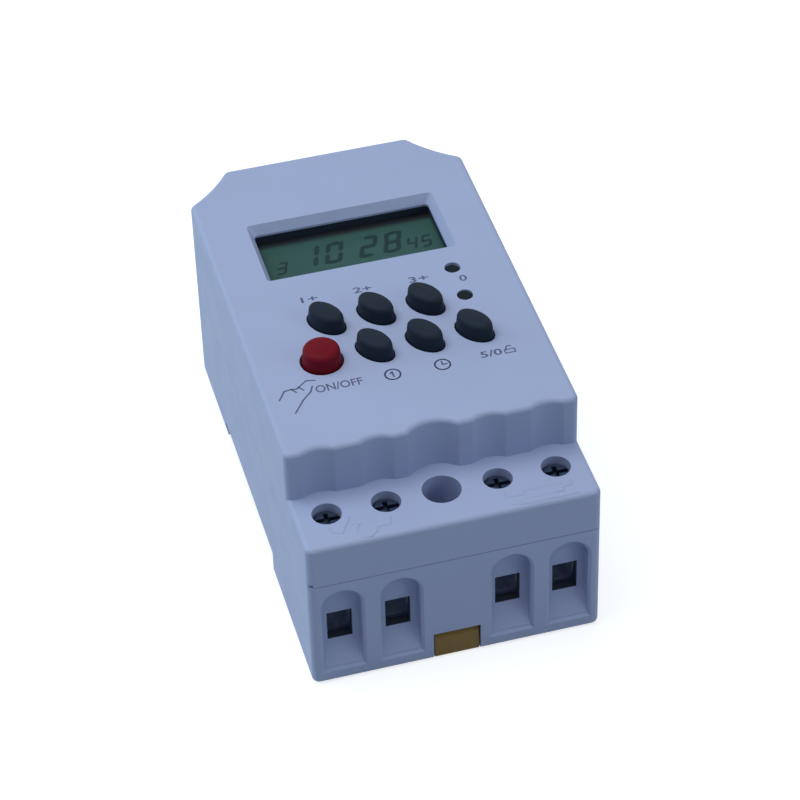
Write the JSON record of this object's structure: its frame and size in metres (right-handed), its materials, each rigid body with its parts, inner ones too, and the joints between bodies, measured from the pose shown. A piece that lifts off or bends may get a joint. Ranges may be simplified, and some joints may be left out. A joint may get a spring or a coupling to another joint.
{
  "type": "din rail timer",
  "caption": "Rail-mounted timer switch: display window, push buttons, stepped front with rising-clamp screw terminals, and a sprung rail latch.",
  "frame": {"origin": "centre of the back, where the unit rests", "axes": "+Z out of the control face; the terminals are at -Y; the rail runs along X"},
  "size_m": [0.05, 0.09, 0.0433],
  "materials": {
    "housing_plastic": "fine moulded grain, satin",
    "button_dark": "moulded, satin",
    "button_red": "moulded, satin",
    "plunger_black": "moulded",
    "switch_black": "moulded",
    "frame_black": "moulded, matt",
    "window_clear": "clear",
    "lcd_glass": "grey-green liquid crystal",
    "contact_rubber": "layered",
    "board_green": "solder mask",
    "latch_ochre": "moulded",
    "screw_steel": "zinc plated",
    "cage_steel": "zinc plated",
    "spring_steel": "drawn wire",
    "bar_copper": "tinned copper alloy",
    "lamp_lens": "diffuse lens",
    "relay_blue": "moulded case",
    "film_yellow": "moulded case",
    "can_aluminium": "sleeved can",
    "diode_black": "moulded",
    "resistor_beige": "lacquered",
    "varistor_blue": "dipped",
    "cell_steel": "nickel plated",
    "chip_black": "moulded",
    "crystal_metal": "drawn can"
  },
  "bodies": {
    "housing": {"base_housing": "housing_plastic", "front_cover": "housing_plastic", "case_screw_sleeve": "housing_plastic", "case_screw": "screw_steel", "latch_spring": "spring_steel", "display_frame": "frame_black", "display_window": "window_clear", "display_glass": "lcd_glass", "contact_strips": "contact_rubber", "display_board": "board_green", "display_board_screws": "screw_steel", "power_board": "board_green", "power_board_screws": "screw_steel", "tact_switches": "switch_black", "reset_switch": "switch_black", "status_lamp": "lamp_lens", "link_header": "switch_black", "link_socket": "switch_black", "relay": "relay_blue", "film_capacitor": "film_yellow", "smoothing_capacitors": "can_aluminium", "rectifier_diodes": "diode_black", "resistors": "resistor_beige", "varistor": "varistor_blue", "cell_holder": "frame_black", "backup_cell": "cell_steel", "controller_chip": "chip_black", "quartz_crystal": "crystal_metal", "current_bar_1": "bar_copper", "current_bar_2": "bar_copper", "current_bar_3": "bar_copper", "current_bar_4": "bar_copper"},
    "latch": {"rail_latch": "latch_ochre"},
    "button_red_body": {"button_red": "button_red", "button_red_plunger": "plunger_black"},
    "button_1_body": {"button_1": "button_dark", "button_1_plunger": "plunger_black"},
    "button_2_body": {"button_2": "button_dark", "button_2_plunger": "plunger_black"},
    "button_3_body": {"button_3": "button_dark", "button_3_plunger": "plunger_black"},
    "button_4_body": {"button_4": "button_dark", "button_4_plunger": "plunger_black"},
    "button_5_body": {"button_5": "button_dark", "button_5_plunger": "plunger_black"},
    "button_6_body": {"button_6": "button_dark", "button_6_plunger": "plunger_black"},
    "reset_body": {"reset_plunger": "switch_black"},
    "screw_1": {"terminal_screw_1": "screw_steel"},
    "cage_1": {"clamp_cage_1": "cage_steel"},
    "screw_2": {"terminal_screw_2": "screw_steel"},
    "cage_2": {"clamp_cage_2": "cage_steel"},
    "screw_3": {"terminal_screw_3": "screw_steel"},
    "cage_3": {"clamp_cage_3": "cage_steel"},
    "screw_4": {"terminal_screw_4": "screw_steel"},
    "cage_4": {"clamp_cage_4": "cage_steel"}
  },
  "joints": [
    {"name": "latch_slide", "type": "slide", "parent": "housing", "child": "latch", "axis": [0, -1, 0], "range_m": [0, 0.003], "stiffness_N_per_m": 400, "springref_m": -0.002, "deforming": ["latch_spring"]},
    {"name": "button_red_press", "type": "slide", "parent": "housing", "child": "button_red_body", "axis": [0, 0, -1], "range_m": [0, 0.0005], "stiffness_N_per_m": 1500, "springref_m": -0.0003},
    {"name": "button_1_press", "type": "slide", "parent": "housing", "child": "button_1_body", "axis": [0, 0, -1], "range_m": [0, 0.0005], "stiffness_N_per_m": 1500, "springref_m": -0.0003},
    {"name": "button_2_press", "type": "slide", "parent": "housing", "child": "button_2_body", "axis": [0, 0, -1], "range_m": [0, 0.0005], "stiffness_N_per_m": 1500, "springref_m": -0.0003},
    {"name": "button_3_press", "type": "slide", "parent": "housing", "child": "button_3_body", "axis": [0, 0, -1], "range_m": [0, 0.0005], "stiffness_N_per_m": 1500, "springref_m": -0.0003},
    {"name": "button_4_press", "type": "slide", "parent": "housing", "child": "button_4_body", "axis": [0, 0, -1], "range_m": [0, 0.0005], "stiffness_N_per_m": 1500, "springref_m": -0.0003},
    {"name": "button_5_press", "type": "slide", "parent": "housing", "child": "button_5_body", "axis": [0, 0, -1], "range_m": [0, 0.0005], "stiffness_N_per_m": 1500, "springref_m": -0.0003},
    {"name": "button_6_press", "type": "slide", "parent": "housing", "child": "button_6_body", "axis": [0, 0, -1], "range_m": [0, 0.0005], "stiffness_N_per_m": 1500, "springref_m": -0.0003},
    {"name": "reset_press", "type": "slide", "parent": "housing", "child": "reset_body", "axis": [0, 0, -1], "range_m": [0, 0.0003], "stiffness_N_per_m": 1500, "springref_m": -0.0003},
    {"name": "screw_1_turn", "type": "hinge", "parent": "housing", "child": "screw_1", "pos_m": [-0.0195, -0.0371, 0.02735], "axis": [0, 0, 1], "range_deg": [-3601, 0]},
    {"name": "cage_1_lift", "type": "slide", "parent": "housing", "child": "cage_1", "axis": [0, 0, 1], "range_m": [0, 0.005]},
    {"name": "screw_2_turn", "type": "hinge", "parent": "housing", "child": "screw_2", "pos_m": [-0.0095, -0.0371, 0.02735], "axis": [0, 0, 1], "range_deg": [-3601, 0]},
    {"name": "cage_2_lift", "type": "slide", "parent": "housing", "child": "cage_2", "axis": [0, 0, 1], "range_m": [0, 0.005]},
    {"name": "screw_3_turn", "type": "hinge", "parent": "housing", "child": "screw_3", "pos_m": [0.0095, -0.0371, 0.02735], "axis": [0, 0, 1], "range_deg": [-3601, 0]},
    {"name": "cage_3_lift", "type": "slide", "parent": "housing", "child": "cage_3", "axis": [0, 0, 1], "range_m": [0, 0.005]},
    {"name": "screw_4_turn", "type": "hinge", "parent": "housing", "child": "screw_4", "pos_m": [0.0195, -0.0371, 0.02735], "axis": [0, 0, 1], "range_deg": [-3601, 0]},
    {"name": "cage_4_lift", "type": "slide", "parent": "housing", "child": "cage_4", "axis": [0, 0, 1], "range_m": [0, 0.005]}
  ],
  "couplings": [
    {"joint": "screw_1_turn", "follows": "cage_1_lift", "rad_per_m": -12566},
    {"joint": "screw_2_turn", "follows": "cage_2_lift", "rad_per_m": -12566},
    {"joint": "screw_3_turn", "follows": "cage_3_lift", "rad_per_m": -12566},
    {"joint": "screw_4_turn", "follows": "cage_4_lift", "rad_per_m": -12566}
  ]
}
